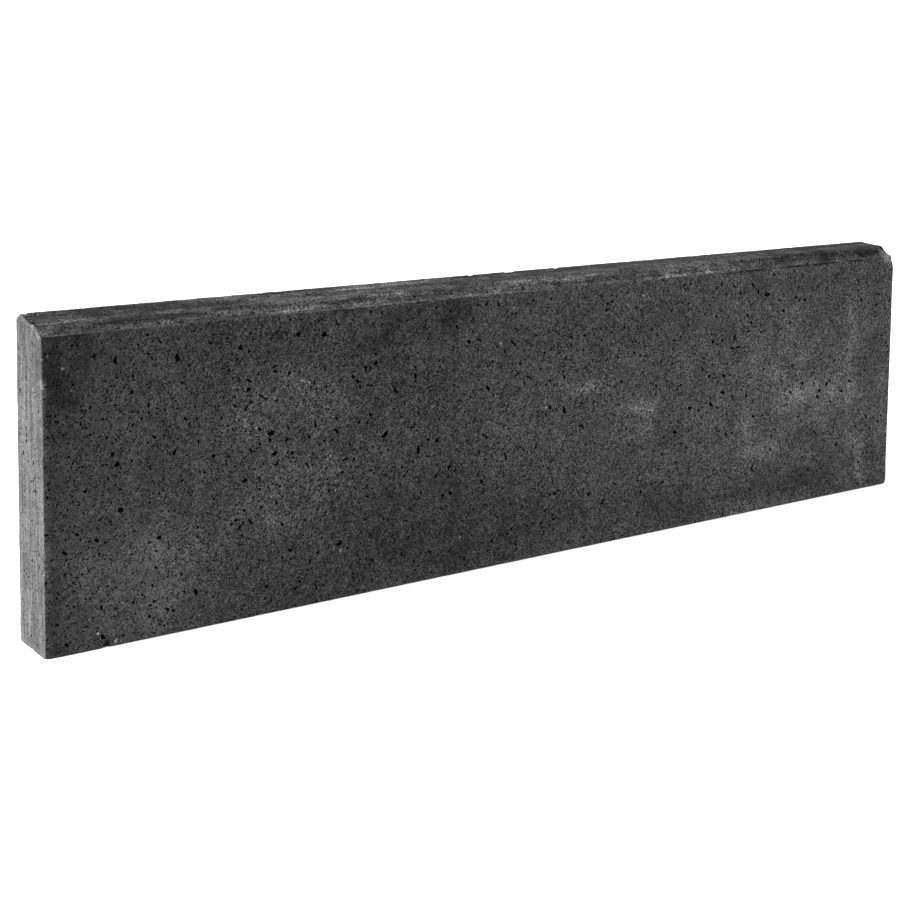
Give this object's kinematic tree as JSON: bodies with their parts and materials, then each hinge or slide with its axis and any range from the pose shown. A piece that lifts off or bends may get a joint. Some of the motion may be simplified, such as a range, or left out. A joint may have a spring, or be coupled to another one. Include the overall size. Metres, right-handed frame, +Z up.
{
  "type": "concrete edging slab",
  "caption": "Long thin precast concrete slab set on edge along a path or lawn, with a wide bevel on the front of its top and a small one behind.",
  "frame": {"origin": "centre of the bed, the long flat face that the slab stands on", "axes": "+X along the slab's length, +Y through its thickness from the front face to the back face, +Z up"},
  "size_m": [0.915, 0.05, 0.25],
  "materials": {
    "concrete": "as cast, anthracite, fine sandy grain with open pores, matt"
  },
  "bodies": {
    "root": {"edging_slab": "concrete"}
  },
  "joints": []
}
